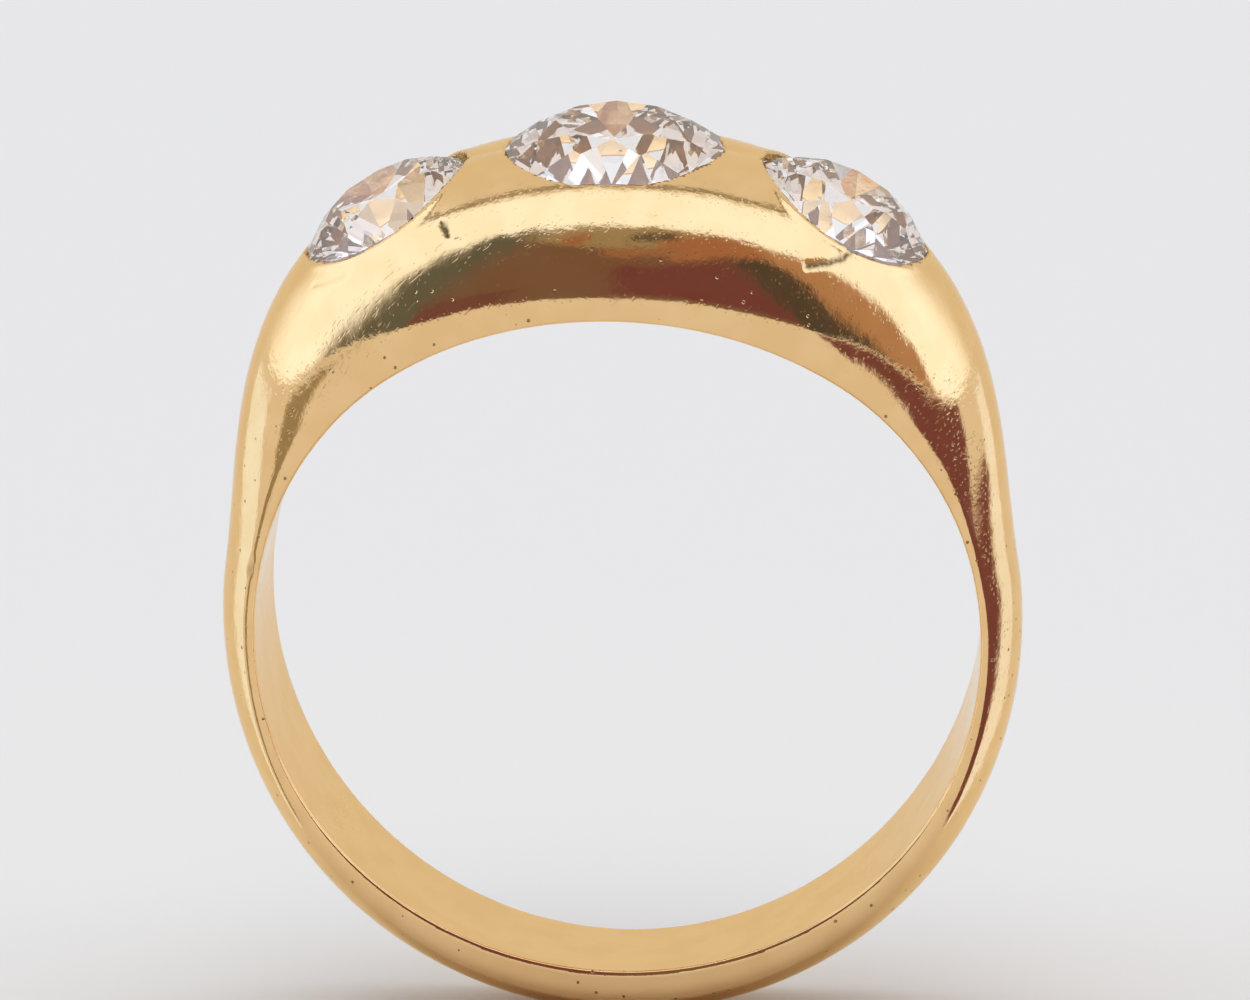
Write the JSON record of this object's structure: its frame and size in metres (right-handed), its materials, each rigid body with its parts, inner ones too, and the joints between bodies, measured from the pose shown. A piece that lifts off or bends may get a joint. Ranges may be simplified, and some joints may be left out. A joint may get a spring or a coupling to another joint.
{
  "type": "engagement ring",
  "caption": "Tapered gold gypsy ring whose raised head holds a row of flush-set, old-cut round diamonds.",
  "frame": {"origin": "centre of the finger bore", "axes": "+Y along the finger bore, +Z from the bore centre through the centre stone, +X to the right when seen from -Y"},
  "size_m": [0.0192, 0.0088, 0.0223],
  "materials": {
    "yellow_gold": "polished and worn 18 carat yellow gold",
    "diamond": "faceted diamond, near colourless"
  },
  "bodies": {
    "root": {"band": "yellow_gold", "centre_diamond": "diamond", "left_diamond": "diamond", "right_diamond": "diamond"}
  },
  "joints": []
}
